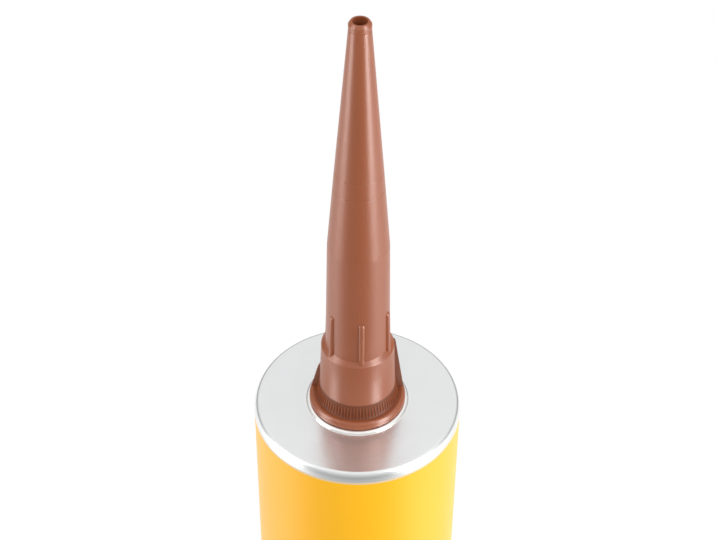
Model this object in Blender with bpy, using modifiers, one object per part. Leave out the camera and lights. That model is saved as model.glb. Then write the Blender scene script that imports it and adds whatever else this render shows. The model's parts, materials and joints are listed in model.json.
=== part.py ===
"""Sealant cartridge: a monobloc aluminium barrel, its moulded nozzle, its piston and its filling.

The cartridge stands on its rolled rear edge, with its axis on +Z. Lengths are in metres.
Compass angles run from the front, which faces -Y, towards +X.
"""

from math import cos, pi, radians, sin

import bmesh
import bpy
from mathutils import Matrix, Vector

# Clearances
SEAT_GAP = 0.0003
SLIDE_GAP = 0.0003
THREAD_GAP = 0.00035
OVERLAP = 0.0004

# Barrel: wall, shoulder and rounded rim
BARREL_LENGTH = 0.215
BARREL_RADIUS = 0.0235
BARREL_WALL = 0.0005
SHOULDER_THICKNESS = 0.0015
RIM_RADIUS = 0.0015
INNER_CORNER_RADIUS = 0.0008
BARE_METAL_DEPTH = 0.0024

# Barrel: rear edge rolled inwards, which the cartridge stands on
ROLL_RADIUS = 0.001
ROLL_FLAT_WIDTH = 0.0008
HEM_RADIUS = 0.001

# Barrel: raised boss and threaded neck
BOSS_HEIGHT = 0.0006
BOSS_MARGIN = 0.0011
BOSS_EDGE_RADIUS = 0.0002
BOSS_FOOT_RADIUS = 0.0003
NECK_RADIUS = 0.006
NECK_BORE_RADIUS = 0.005
NECK_HEIGHT = 0.0135
NECK_CHAMFER = 0.0004
MEMBRANE_THICKNESS = 0.0005
THREAD_DEPTH = 0.0006
THREAD_ROUND_RADIUS = 0.0009
THREAD_PITCH = 0.0034
THREAD_START_HEIGHT = 0.0032
THREAD_TURNS = 2.5

# Nozzle: skirt over the neck, with its lip and teeth
SKIRT_WALL = 0.00115
SKIRT_FLARE = 0.00045
SKIRT_FOOT_HEIGHT = 0.0052
SOCKET_END_GAP = 0.0017
LEDGE_THICKNESS = 0.0012
LEDGE_WIDTH = 0.00098
LEDGE_SLOPE = 0.0007
CHANNEL_WIDTH = 0.0009
CHANNEL_DEPTH = 0.0038
LIP_RADIUS = 0.0109
LIP_WIDTH = 0.0009
LIP_EDGE_HEIGHT = 0.0004
LIP_RISE = 0.0002
MOUTH_CHAMFER = 0.0005
TOOTH_COUNT = 78
TOOTH_WIDTH = 0.0003
TOOTH_TOP_DROP = 0.0007
TOOTH_FOOT_RISE = 0.00014

# Nozzle: tube, cone and tip
NOZZLE_LENGTH = 0.1009
NOZZLE_WALL = 0.00115
TUBE_DRAFT = 0.00047
CONE_START_HEIGHT = 0.0455
CONE_BREAK_HEIGHT = 0.0652
CONE_BREAK_RADIUS = 0.00511
COLLAR_RADIUS = 0.00231
COLLAR_HEIGHT = 0.0018
TIP_CHAMFER = 0.0006
TIP_RADIUS = 0.0019
TIP_HOLE_RADIUS = 0.0015
TIP_HOLE_DEPTH = 0.0023

# Nozzle: ribs round the tube and gussets on the skirt
RIB_COUNT = 6
RIB_LENGTH = 0.0122
RIB_WIDTH = 0.0012
RIB_HEIGHT = 0.0007
RIB_TOP_SLOPE = 0.0004
RIB_FIRST_ANGLE = radians(5)
GUSSET_WIDTH = 0.001
GUSSET_FOOT_MARGIN = 0.0003
GUSSET_HEAD_WIDTH = 0.0003
TALL_GUSSET_ANGLE = radians(100)
TALL_GUSSET_DROP = 0.0
LOW_GUSSET_ANGLE = radians(-100)
LOW_GUSSET_DROP = 0.0058

# Piston
PISTON_HEIGHT = 0.016
PISTON_WALL = 0.0014
PISTON_FRONT = 0.0016
PISTON_CHAMFER = 0.0008
PISTON_BAND_HEIGHT = 0.0035
PISTON_RELIEF = 0.0005
PISTON_RING_RADIUS = 0.0085
PISTON_RING_WALL = 0.0012
PISTON_RIB_COUNT = 8
PISTON_RIB_HEIGHT = 0.003
PISTON_RIB_WIDTH = 0.0012

# Facets of the turned pieces
BARREL_STEPS = 48
NOZZLE_STEPS = 36
PISTON_STEPS = 40
SEALANT_STEPS = 32
THREAD_STEPS_PER_TURN = 20
FINE_ARC = 6
COARSE_ARC = 3
SMOOTH_ANGLE = radians(35)
MERGE_DISTANCE = 0.000001

# Sizes that follow
BORE_RADIUS = BARREL_RADIUS - BARREL_WALL
SOCKET_RADIUS = NECK_RADIUS + THREAD_DEPTH + THREAD_GAP
BOSS_RADIUS = LIP_RADIUS + BOSS_MARGIN
NOZZLE_SEAT = BARREL_LENGTH + BOSS_HEIGHT + SEAT_GAP
SOCKET_DEPTH = NECK_HEIGHT + SOCKET_END_GAP - BOSS_HEIGHT - SEAT_GAP
SKIRT_HEIGHT = SOCKET_DEPTH + LEDGE_THICKNESS
SKIRT_RADIUS = SOCKET_RADIUS + SKIRT_WALL
SKIRT_FOOT_RADIUS = SKIRT_RADIUS + SKIRT_FLARE
TUBE_RADIUS = SKIRT_RADIUS - LEDGE_WIDTH
TUBE_START_HEIGHT = SKIRT_HEIGHT + LEDGE_SLOPE
TUBE_TOP_RADIUS = TUBE_RADIUS - TUBE_DRAFT
CHANNEL_RADIUS = SKIRT_FOOT_RADIUS + CHANNEL_WIDTH
CHANNEL_FLOOR = SKIRT_FOOT_HEIGHT - CHANNEL_DEPTH
PISTON_SEAT = HEM_RADIUS + SEAT_GAP
PISTON_RADIUS = BORE_RADIUS - SLIDE_GAP
PISTON_CUP_RADIUS = PISTON_RADIUS - PISTON_WALL

# Finishes: colour, roughness and metallic value
ALUMINIUM = ("bare_aluminium", (0.78, 0.79, 0.79), 0.3, 1.0)
LACQUER = ("yellow_lacquer", (0.98, 0.55, 0.03), 0.35, 0.0)
BROWN_PLASTIC = ("brown_plastic", (0.3, 0.1, 0.05), 0.45, 0.0)
NATURAL_PLASTIC = ("natural_plastic", (0.85, 0.85, 0.8), 0.5, 0.0)
FILLING = ("brown_sealant", (0.25, 0.1, 0.06), 0.6, 0.0)


def clear_scene():
    """Remove whatever the scene holds."""
    for thing in list(bpy.data.objects):
        bpy.data.objects.remove(thing, do_unlink=True)


def new_collection(name):
    """Return a new collection, linked to the scene."""
    collection = bpy.data.collections.new(name)
    bpy.context.scene.collection.children.link(collection)
    return collection


def finish(description):
    """Return a Principled material for a (name, colour, roughness, metallic) description."""
    name, colour, roughness, metallic = description
    material = bpy.data.materials.new(name)
    material.use_nodes = True
    shader = material.node_tree.nodes["Principled BSDF"]
    shader.inputs["Base Color"].default_value = (*colour, 1.0)
    shader.inputs["Roughness"].default_value = roughness
    shader.inputs["Metallic"].default_value = metallic
    return material


def arc(centre, radius, start, end, pieces):
    """Return the points of an arc in the profile plane; angles are in degrees from the radius axis."""
    angles = [radians(start + (end - start) * step / pieces) for step in range(pieces + 1)]
    return [(centre[0] + radius * cos(angle), centre[1] + radius * sin(angle)) for angle in angles]


def compass(angle):
    """Return the rotation that turns +X to a compass angle, which runs from -Y towards +X."""
    return Matrix.Rotation(angle - pi / 2, 4, "Z")


def add_object(name, mesh, collection, materials):
    """Link a mesh as a named object and give it its materials."""
    thing = bpy.data.objects.new(name, mesh)
    collection.objects.link(thing)
    for material in materials:
        mesh.materials.append(material)
    return thing


def shade(mesh):
    """Shade a mesh smooth, with its corners kept sharp."""
    mesh.shade_smooth()
    mesh.set_sharp_from_angle(angle=SMOOTH_ANGLE)


def baked(thing):
    """Return the evaluated mesh of an object, which is then removed."""
    depsgraph = bpy.context.evaluated_depsgraph_get()
    mesh = bpy.data.meshes.new_from_object(thing.evaluated_get(depsgraph))
    bpy.data.objects.remove(thing, do_unlink=True)
    return mesh


def turned(name, profile, steps, collection, materials, closed):
    """Turn a profile of (radius, height) points round +Z, and return it as a mesh object."""
    outline = bpy.data.meshes.new(name + "_profile")
    edges = [(index, index + 1) for index in range(len(profile) - 1)]
    if closed:
        edges.append((len(profile) - 1, 0))
    outline.from_pydata([(radius, 0, height) for radius, height in profile], edges, [])
    thing = add_object(name + "_profile", outline, collection, [])
    screw = thing.modifiers.new("turn", "SCREW")
    screw.axis = "Z"
    screw.steps = steps
    screw.render_steps = steps
    screw.use_merge_vertices = True
    screw.merge_threshold = MERGE_DISTANCE
    mesh = baked(thing)
    mesh.name = name
    shade(mesh)
    return add_object(name, mesh, collection, materials)


def plate(outline, thickness):
    """Return a mesh for a flat plate in the XZ plane, from its (radius, height) outline."""
    curve = bpy.data.curves.new("plate", "CURVE")
    curve.dimensions = "2D"
    curve.fill_mode = "BOTH"
    curve.extrude = thickness / 2
    spline = curve.splines.new("POLY")
    spline.points.add(len(outline) - 1)
    spline.use_cyclic_u = True
    for point, (across, up) in zip(spline.points, outline):
        point.co = (across, up, 0, 1)
    thing = bpy.data.objects.new("plate", curve)
    bpy.context.scene.collection.objects.link(thing)
    mesh = baked(thing)
    mesh.transform(Matrix.Rotation(pi / 2, 4, "X"))
    return mesh


def copies(name, mesh, angles, collection, materials):
    """Return a hidden helper that holds a mesh once at each compass angle."""
    ring = bmesh.new()
    for angle in angles:
        start = len(ring.verts)
        ring.from_mesh(mesh)
        ring.verts.ensure_lookup_table()
        bmesh.ops.transform(ring, matrix=compass(angle), verts=ring.verts[start:])
    bmesh.ops.remove_doubles(ring, verts=ring.verts, dist=MERGE_DISTANCE)
    bmesh.ops.recalc_face_normals(ring, faces=ring.faces)
    joined = bpy.data.meshes.new(name)
    ring.to_mesh(joined)
    ring.free()
    helper = add_object(name, joined, collection, materials)
    helper.hide_render = True
    helper.display_type = "WIRE"
    return helper


def join(body, helper):
    """Join a hidden helper to a body with a Boolean union."""
    helper.parent = body
    union = body.modifiers.new(helper.name, "BOOLEAN")
    union.operation = "UNION"
    union.solver = "EXACT"
    union.object = helper


def round_about(count, first=0.0):
    """Return evenly spaced compass angles."""
    return [first + 2 * pi * index / count for index in range(count)]


def rear_edge(offset):
    """Return the rolled rear edge's points, from the wall inwards, at an offset into the metal."""
    corner = (BARREL_RADIUS - ROLL_RADIUS, ROLL_RADIUS)
    hem = (corner[0] - ROLL_FLAT_WIDTH, HEM_RADIUS)
    return [
        *arc(corner, ROLL_RADIUS - offset, 0, -90, COARSE_ARC),
        *arc(hem, HEM_RADIUS - offset, -90, -180, COARSE_ARC),
    ]


def boss_profile():
    """Return the boss's points, from the neck outwards and down to the shoulder."""
    top = BARREL_LENGTH + BOSS_HEIGHT
    edge = (BOSS_RADIUS - BOSS_FOOT_RADIUS - BOSS_EDGE_RADIUS, top - BOSS_EDGE_RADIUS)
    foot = (BOSS_RADIUS, BARREL_LENGTH + BOSS_FOOT_RADIUS)
    return [
        *arc(edge, BOSS_EDGE_RADIUS, 90, 0, COARSE_ARC),
        *arc(foot, BOSS_FOOT_RADIUS, 180, 270, COARSE_ARC),
    ]


def barrel_profile():
    """Return the cartridge's section: from the membrane down the outside, and back up the bore."""
    neck_top = BARREL_LENGTH + NECK_HEIGHT
    shoulder_under = BARREL_LENGTH - SHOULDER_THICKNESS
    rim = (BARREL_RADIUS - RIM_RADIUS, BARREL_LENGTH - RIM_RADIUS)
    corner = (BORE_RADIUS - INNER_CORNER_RADIUS, shoulder_under - INNER_CORNER_RADIUS)
    outside = [
        (0, neck_top),
        (NECK_RADIUS - NECK_CHAMFER, neck_top),
        (NECK_RADIUS, neck_top - NECK_CHAMFER),
        (NECK_RADIUS, BARREL_LENGTH + BOSS_HEIGHT),
        *boss_profile(),
        *arc(rim, RIM_RADIUS, 90, 0, FINE_ARC),
        (BARREL_RADIUS, BARREL_LENGTH - BARE_METAL_DEPTH),
        *rear_edge(0),
    ]
    inside = [
        *reversed(rear_edge(BARREL_WALL)),
        *arc(corner, INNER_CORNER_RADIUS, 0, 90, COARSE_ARC),
        (NECK_BORE_RADIUS, shoulder_under),
        (NECK_BORE_RADIUS, neck_top - MEMBRANE_THICKNESS),
        (0, neck_top - MEMBRANE_THICKNESS),
    ]
    return outside + inside


def neck_thread(collection, materials):
    """Return the neck's rolled thread as a hidden helper: a round ridge along a helix."""
    path_radius = NECK_RADIUS + THREAD_DEPTH - THREAD_ROUND_RADIUS
    count = int(THREAD_TURNS * THREAD_STEPS_PER_TURN)
    curve = bpy.data.curves.new("neck_thread", "CURVE")
    curve.dimensions = "3D"
    curve.bevel_depth = THREAD_ROUND_RADIUS
    curve.bevel_resolution = 1
    curve.use_fill_caps = True
    spline = curve.splines.new("POLY")
    spline.points.add(count)
    for index, point in enumerate(spline.points):
        turn = index / THREAD_STEPS_PER_TURN
        height = BARREL_LENGTH + THREAD_START_HEIGHT + THREAD_PITCH * turn
        point.co = (path_radius * cos(2 * pi * turn), path_radius * sin(2 * pi * turn), height, 1)
    helix = bpy.data.objects.new("neck_thread", curve)
    collection.objects.link(helix)
    return copies("thread_ridge", baked(helix), [0], collection, materials)


def build_cartridge(parts, helpers):
    """Build the monobloc barrel, with its shoulder, boss, threaded neck and rolled rear edge."""
    metals = [finish(ALUMINIUM), finish(LACQUER)]
    cartridge = turned("cartridge", barrel_profile(), BARREL_STEPS, parts, metals, False)
    lacquer_top = BARREL_LENGTH - BARE_METAL_DEPTH
    for face in cartridge.data.polygons:
        outer = Vector(face.center[:2]).length > BORE_RADIUS
        face.material_index = int(outer and face.center.z < lacquer_top)
    join(cartridge, neck_thread(helpers, metals))
    return cartridge


def nozzle_profile():
    """Return the nozzle's closed section: down the outside from the tip, and back up the bore."""
    collar_foot = NOZZLE_LENGTH - COLLAR_HEIGHT
    lip_crest = CHANNEL_FLOOR + LIP_RISE
    lip_centre = LIP_RADIUS - LIP_WIDTH
    channel = [
        (CHANNEL_RADIUS - CHANNEL_WIDTH * cos(angle), SKIRT_FOOT_HEIGHT - CHANNEL_DEPTH * sin(angle))
        for angle in (pi / 2 * step / FINE_ARC for step in range(FINE_ARC + 1))
    ]
    lip = [
        (lip_centre + LIP_WIDTH * cos(angle), LIP_EDGE_HEIGHT + (lip_crest - LIP_EDGE_HEIGHT) * sin(angle))
        for angle in (pi / 2 * (1 - step / COARSE_ARC) for step in range(COARSE_ARC + 1))
    ]
    outside = [
        (TIP_HOLE_RADIUS, NOZZLE_LENGTH),
        (TIP_RADIUS, NOZZLE_LENGTH),
        (COLLAR_RADIUS, NOZZLE_LENGTH - TIP_CHAMFER),
        (COLLAR_RADIUS, collar_foot),
        (CONE_BREAK_RADIUS, CONE_BREAK_HEIGHT),
        (TUBE_TOP_RADIUS, CONE_START_HEIGHT),
        (TUBE_RADIUS, TUBE_START_HEIGHT),
        (SKIRT_RADIUS, SKIRT_HEIGHT),
        *channel,
        *lip,
        (LIP_RADIUS, 0),
    ]
    inside = [
        (SOCKET_RADIUS + MOUTH_CHAMFER, 0),
        (SOCKET_RADIUS, MOUTH_CHAMFER),
        (SOCKET_RADIUS, SOCKET_DEPTH),
        (TUBE_RADIUS - NOZZLE_WALL, SOCKET_DEPTH),
        (TUBE_TOP_RADIUS - NOZZLE_WALL, CONE_START_HEIGHT),
        (CONE_BREAK_RADIUS - NOZZLE_WALL, CONE_BREAK_HEIGHT),
        (TIP_HOLE_RADIUS, NOZZLE_LENGTH - TIP_HOLE_DEPTH),
    ]
    return outside + inside


def rib_outline():
    """Return the side view of a rib, which stands on the ledge and runs up the tube."""
    root = TUBE_TOP_RADIUS - OVERLAP
    foot = TUBE_RADIUS + RIB_HEIGHT
    top = TUBE_START_HEIGHT + RIB_LENGTH
    return [
        (root, SKIRT_HEIGHT - OVERLAP),
        (foot, SKIRT_HEIGHT - OVERLAP),
        (foot - RIB_TOP_SLOPE, top - RIB_HEIGHT),
        (TUBE_RADIUS, top),
        (root, top),
    ]


def gusset_outline(drop):
    """Return the side view of a gusset, from below the ledge by a drop down to the lip."""
    head = SKIRT_HEIGHT - OVERLAP - drop
    head_radius = SKIRT_RADIUS + GUSSET_HEAD_WIDTH
    foot = LIP_EDGE_HEIGHT + LIP_RISE
    return [
        (SKIRT_RADIUS - OVERLAP, head),
        (head_radius, head),
        (LIP_RADIUS - GUSSET_FOOT_MARGIN, CHANNEL_FLOOR),
        (LIP_RADIUS - GUSSET_FOOT_MARGIN, foot),
        (SKIRT_RADIUS - OVERLAP, foot),
    ]


def tooth_outline():
    """Return the side view of one fine tooth, which bridges the channel under the skirt."""
    head = SKIRT_FOOT_HEIGHT - TOOTH_TOP_DROP
    foot = CHANNEL_FLOOR + TOOTH_FOOT_RISE
    root = SKIRT_FOOT_RADIUS - OVERLAP
    return [
        (root, head),
        (SKIRT_FOOT_RADIUS + OVERLAP / 4, head),
        (CHANNEL_RADIUS - OVERLAP / 2, foot),
        (CHANNEL_RADIUS - OVERLAP / 2, CHANNEL_FLOOR - OVERLAP),
        (root, CHANNEL_FLOOR - OVERLAP),
    ]


def build_nozzle(parts, helpers):
    """Build the moulded nozzle, with its origin on the joint's axis at its seat on the boss."""
    plastic = [finish(BROWN_PLASTIC)]
    nozzle = turned("nozzle", nozzle_profile(), NOZZLE_STEPS, parts, plastic, True)
    nozzle.location.z = NOZZLE_SEAT
    teeth = plate(tooth_outline(), TOOTH_WIDTH)
    join(nozzle, copies("teeth", teeth, round_about(TOOTH_COUNT), helpers, plastic))
    ribs = plate(rib_outline(), RIB_WIDTH)
    join(nozzle, copies("ribs", ribs, round_about(RIB_COUNT, RIB_FIRST_ANGLE), helpers, plastic))
    tall = plate(gusset_outline(TALL_GUSSET_DROP), GUSSET_WIDTH)
    join(nozzle, copies("tall_gusset", tall, [TALL_GUSSET_ANGLE], helpers, plastic))
    low = plate(gusset_outline(LOW_GUSSET_DROP), GUSSET_WIDTH)
    join(nozzle, copies("low_gusset", low, [LOW_GUSSET_ANGLE], helpers, plastic))
    return nozzle


def piston_profile():
    """Return the piston's section: a flat-fronted cup with two sealing bands."""
    waist = PISTON_RADIUS - PISTON_RELIEF
    front_under = PISTON_HEIGHT - PISTON_FRONT
    return [
        (0, PISTON_HEIGHT),
        (PISTON_RADIUS - PISTON_CHAMFER, PISTON_HEIGHT),
        (PISTON_RADIUS, PISTON_HEIGHT - PISTON_CHAMFER),
        (PISTON_RADIUS, PISTON_HEIGHT - PISTON_BAND_HEIGHT),
        (waist, PISTON_HEIGHT - PISTON_BAND_HEIGHT - PISTON_RELIEF),
        (waist, PISTON_BAND_HEIGHT + PISTON_RELIEF),
        (PISTON_RADIUS, PISTON_BAND_HEIGHT),
        (PISTON_RADIUS, 0),
        (PISTON_CUP_RADIUS, 0),
        (PISTON_CUP_RADIUS, front_under),
        (PISTON_RING_RADIUS, front_under),
        (PISTON_RING_RADIUS, front_under - PISTON_RIB_HEIGHT),
        (PISTON_RING_RADIUS - PISTON_RING_WALL, front_under - PISTON_RIB_HEIGHT),
        (PISTON_RING_RADIUS - PISTON_RING_WALL, front_under),
        (0, front_under),
    ]


def build_piston(parts, helpers):
    """Build the moulded piston, with its origin on the slide's axis at its rear rim."""
    plastic = [finish(NATURAL_PLASTIC)]
    piston = turned("piston", piston_profile(), PISTON_STEPS, parts, plastic, False)
    piston.location.z = PISTON_SEAT
    inner = PISTON_RING_RADIUS - PISTON_RING_WALL / 2
    outer = PISTON_CUP_RADIUS + PISTON_WALL / 2
    low = PISTON_HEIGHT - PISTON_FRONT - PISTON_RIB_HEIGHT
    high = PISTON_HEIGHT - PISTON_FRONT / 2
    rib = plate([(inner, low + OVERLAP), (outer, low + OVERLAP), (outer, high), (inner, high)], PISTON_RIB_WIDTH)
    join(piston, copies("piston_ribs", rib, round_about(PISTON_RIB_COUNT), helpers, plastic))
    return piston


def build_sealant(parts):
    """Build the filling, from the piston's front up to the neck's membrane."""
    shoulder_under = BARREL_LENGTH - SHOULDER_THICKNESS - SEAT_GAP
    radius = BORE_RADIUS - SEAT_GAP
    corner = (radius - INNER_CORNER_RADIUS, shoulder_under - INNER_CORNER_RADIUS)
    neck_radius = NECK_BORE_RADIUS - SEAT_GAP
    neck_top = BARREL_LENGTH + NECK_HEIGHT - MEMBRANE_THICKNESS - SEAT_GAP
    foot = PISTON_SEAT + PISTON_HEIGHT + SEAT_GAP
    profile = [
        (0, neck_top),
        (neck_radius, neck_top),
        (neck_radius, shoulder_under),
        *arc(corner, INNER_CORNER_RADIUS, 90, 0, COARSE_ARC),
        (radius, foot),
        (0, foot),
    ]
    return turned("sealant", profile, SEALANT_STEPS, parts, [finish(FILLING)], False)


def main():
    """Build the four pieces and hang them on one upright axis."""
    clear_scene()
    parts = new_collection("sealant_cartridge")
    helpers = new_collection("cartridge_helpers")
    axis = bpy.data.objects.new("cartridge_axis", None)
    parts.objects.link(axis)
    pieces = [
        build_cartridge(parts, helpers),
        build_nozzle(parts, helpers),
        build_piston(parts, helpers),
        build_sealant(parts),
    ]
    for piece in pieces:
        piece.parent = axis


main()
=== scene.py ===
"""Looks of the sealant cartridge: lacquered barrel, moulded nozzle, piston and filling.

Lengths are in metres. Compass angles run from the front, which faces -Y, towards +X.
"""

import json
import logging
from dataclasses import dataclass
from enum import Enum
from math import cos, pi, radians, sin, sqrt, tan
from typing import Mapping, Sequence

import bmesh
import bpy
from mathutils import Matrix, Vector


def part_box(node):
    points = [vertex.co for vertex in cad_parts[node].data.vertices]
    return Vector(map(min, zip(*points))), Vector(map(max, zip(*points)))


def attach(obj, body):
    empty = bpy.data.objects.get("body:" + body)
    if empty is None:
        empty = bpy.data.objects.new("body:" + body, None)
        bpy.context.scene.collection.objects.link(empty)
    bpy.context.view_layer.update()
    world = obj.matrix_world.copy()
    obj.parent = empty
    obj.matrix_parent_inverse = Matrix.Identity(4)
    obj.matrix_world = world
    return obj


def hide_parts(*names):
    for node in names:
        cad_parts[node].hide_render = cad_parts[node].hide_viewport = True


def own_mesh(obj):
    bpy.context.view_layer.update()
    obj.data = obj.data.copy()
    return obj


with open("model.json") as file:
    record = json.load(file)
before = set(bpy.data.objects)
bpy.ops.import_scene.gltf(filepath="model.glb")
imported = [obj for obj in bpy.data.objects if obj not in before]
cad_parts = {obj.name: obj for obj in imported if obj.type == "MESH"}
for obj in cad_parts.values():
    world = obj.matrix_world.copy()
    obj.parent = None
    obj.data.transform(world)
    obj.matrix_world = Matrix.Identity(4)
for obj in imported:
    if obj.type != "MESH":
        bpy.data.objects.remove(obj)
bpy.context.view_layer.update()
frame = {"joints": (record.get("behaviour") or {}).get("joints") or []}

Point = tuple[float, float]
Colour = tuple[float, float, float]
Socket = bpy.types.NodeSocket
Mesh = bpy.types.Mesh
Material = bpy.types.Material

LOG = logging.getLogger("sealant_cartridge")
TURN_STEPS = 256
FILLET_STEPS = 8
FINE_STEPS = 14
SQUARE_FIN = 8.0
SOFT_FIN = 2.6
THREAD_STEPS = 64
THREAD_SIDES = 20
THREAD_END = 0.1
NOISE_SPAN = (0.25, 0.75)
GUARD = 0.00004
SHORTEST_GUARDED = 0.0006
SHARP_ANGLE = radians(38)
WELD = 0.0000005


class Body(Enum):
    """Bodies that the pieces ride on."""

    CARTRIDGE = "cartridge"
    NOZZLE = "nozzle"
    PISTON = "piston"


class Slot(Enum):
    """Material slots of the record."""

    METAL = "lacquered_aluminium"
    NOZZLE = "nozzle_plastic"
    PISTON = "piston_plastic"
    FILLING = "sealant"


@dataclass(frozen=True)
class Corner:
    """One corner of an outline: its radius from the axis, its height, and its fillet."""

    radius: float
    height: float
    fillet: float = 0.0


@dataclass(frozen=True)
class Extent:
    """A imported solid's radius, foot and top."""

    radius: float
    foot: float
    top: float

    @classmethod
    def of(cls, node: str) -> "Extent":
        """Read the extent from the node's box."""
        low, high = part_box(node)
        return cls(high.x, low.z, high.z)


@dataclass(frozen=True)
class Datum:
    """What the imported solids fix."""

    barrel: Extent
    nozzle: Extent
    piston: Extent
    filling: Extent


def placed(name: str, data: bpy.types.ID) -> bpy.types.Object:
    """Put an object of some data into the scene."""
    thing = bpy.data.objects.new(name, data)
    bpy.context.scene.collection.objects.link(thing)
    return thing


class NodeSheet:
    """A node tree, with short calls that add nodes and join them."""

    def __init__(self, tree: bpy.types.NodeTree) -> None:
        """Take the shader or geometry tree to draw on."""
        self.tree = tree

    def put(
        self, kind: str, inputs: Mapping[object, object] | None = None, **settings: object
    ) -> bpy.types.Node:
        """Add a node, set its properties, and set or link its inputs.

        Args:
            kind: The node's type name.
            inputs: Values or sockets, by the input's name or number.
            settings: Properties of the node.

        Returns:
            The new node.
        """
        node = self.tree.nodes.new(kind)
        for name, value in settings.items():
            setattr(node, name, value)
        for key, value in (inputs or {}).items():
            if isinstance(value, Socket):
                self.tree.links.new(value, node.inputs[key])
            else:
                node.inputs[key].default_value = value
        return node

    def sum(self, operation: str, first: object, second: object = 0.0) -> Socket:
        """Return a Math node's result for two values or sockets."""
        return self.put("ShaderNodeMath", {0: first, 1: second}, operation=operation).outputs[0]

    def remap(
        self, value: Socket, source: Point, target: tuple[object, object], smooth: bool = False
    ) -> Socket:
        """Return a value mapped from one span to another, clamped.

        Args:
            value: The value to map.
            source: Its span before.
            target: Its span after, as numbers or sockets.
            smooth: Whether the ends are eased.

        Returns:
            The mapped value.
        """
        inputs = {"Value": value, "From Min": source[0], "From Max": source[1]}
        inputs |= {"To Min": target[0], "To Max": target[1]}
        kind = "SMOOTHSTEP" if smooth else "LINEAR"
        return self.put("ShaderNodeMapRange", inputs, interpolation_type=kind).outputs["Result"]

    def shown(self, mirrored_share: object = 1.0) -> Socket:
        """Return 1 for camera rays, and a share for rays that metal and glass send on."""
        rays = self.put("ShaderNodeLightPath").outputs
        mirrored = self.sum("ADD", rays["Is Glossy Ray"], rays["Is Transmission Ray"])
        share = self.sum("MULTIPLY", mirrored, mirrored_share)
        return self.sum("ADD", rays["Is Camera Ray"], share)


class ShaderSheet(NodeSheet):
    """The node tree of one material, around a Principled shader."""

    def __init__(self, name: str, **constants: object) -> None:
        """Start a material.

        Args:
            name: Its name.
            constants: Shader inputs that are the same all over, by name, with _ for a space.
        """
        self.material = bpy.data.materials.new(name)
        self.material.use_nodes = True
        super().__init__(self.material.node_tree)
        self.shader = self.tree.nodes["Principled BSDF"]
        for key, value in constants.items():
            label = key.replace("_", " ").title().replace("Ior", "IOR")
            self.shader.inputs[label].default_value = value
        self.place = self.put("ShaderNodeTexCoord").outputs["Object"]
        parts = self.put("ShaderNodeSeparateXYZ", {0: self.place}).outputs
        self.across, self.along, self.height = parts

    def noise(self, scale: float, detail: float = 2.0, where: Socket | None = None) -> Socket:
        """Return a noise from 0 to 1 of a scale in waves to a metre, with its octaves."""
        inputs = {"Vector": where or self.place, "Scale": scale, "Detail": detail}
        return self.put("ShaderNodeTexNoise", inputs).outputs[0]

    def radius(self) -> Socket:
        """Return the distance from the upright axis."""
        squares = [self.sum("MULTIPLY", part, part) for part in (self.across, self.along)]
        return self.sum("SQRT", self.sum("ADD", *squares))

    def around(self, radius: Socket) -> tuple[Socket, Socket]:
        """Return the direction from the axis, across and along."""
        return tuple(self.sum("DIVIDE", part, radius) for part in (self.across, self.along))

    def turned(self, streak: float) -> Socket:
        """Return coordinates along a turned outline, on a small circle that stands for a turn."""
        radius = self.radius()
        inputs = dict(enumerate(self.sum("MULTIPLY", p, streak) for p in self.around(radius)))
        inputs[2] = self.sum("SUBTRACT", radius, self.height)
        return self.put("ShaderNodeCombineXYZ", inputs).outputs[0]

    def towards(self, angle: float) -> Socket:
        """Return 1 on the side that faces a compass angle and 0 on the far side, eased."""
        across, along = self.around(self.radius())
        east = self.sum("MULTIPLY", across, sin(angle))
        south = self.sum("MULTIPLY", along, -cos(angle))
        return self.remap(self.sum("ADD", east, south), (-1.0, 1.0), (0.0, 1.0), smooth=True)

    def blend(self, factor: Socket, low: object, high: object) -> Socket:
        """Return a colour between two colours or sockets."""
        inputs = {"Factor": factor}
        for number, colour in ((6, low), (7, high)):
            inputs[number] = colour if isinstance(colour, Socket) else (*colour, 1.0)
        return self.put("ShaderNodeMix", inputs, data_type="RGBA").outputs[2]

    def finish(
        self, colour: Socket, roughness: Socket, *relief: tuple[Socket, float]
    ) -> Material:
        """End the material.

        Args:
            colour: Its base colour.
            roughness: Its roughness.
            relief: Layers that raise the surface: a height from 0 to 1, and its depth.

        Returns:
            The material.
        """
        feeds = {"Base Color": colour, "Roughness": roughness}
        for height, depth in relief:
            inputs: dict[object, object] = {"Height": height, "Distance": depth}
            if "Normal" in feeds:
                inputs["Normal"] = feeds["Normal"]
            feeds["Normal"] = self.put("ShaderNodeBump", inputs).outputs["Normal"]
        for name, value in feeds.items():
            self.tree.links.new(value, self.shader.inputs[name])
        return self.material


def shaded(colour: Colour, factor: float) -> Colour:
    """Return a colour made darker or paler by a factor."""
    return tuple(min(1.0, part * factor) for part in colour)


@dataclass(frozen=True)
class Clouds:
    """Darker clouds over a colour, from a span of a noise."""

    scale: float
    span: Point
    share: float
    shade: float

    def over(self, sheet: ShaderSheet, ground: Socket, colour: Colour) -> Socket:
        """Return a ground colour with the clouds over it."""
        cloud = sheet.remap(sheet.noise(self.scale, 3.0), self.span, (0.0, self.share))
        return sheet.blend(cloud, ground, shaded(colour, self.shade))


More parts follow.
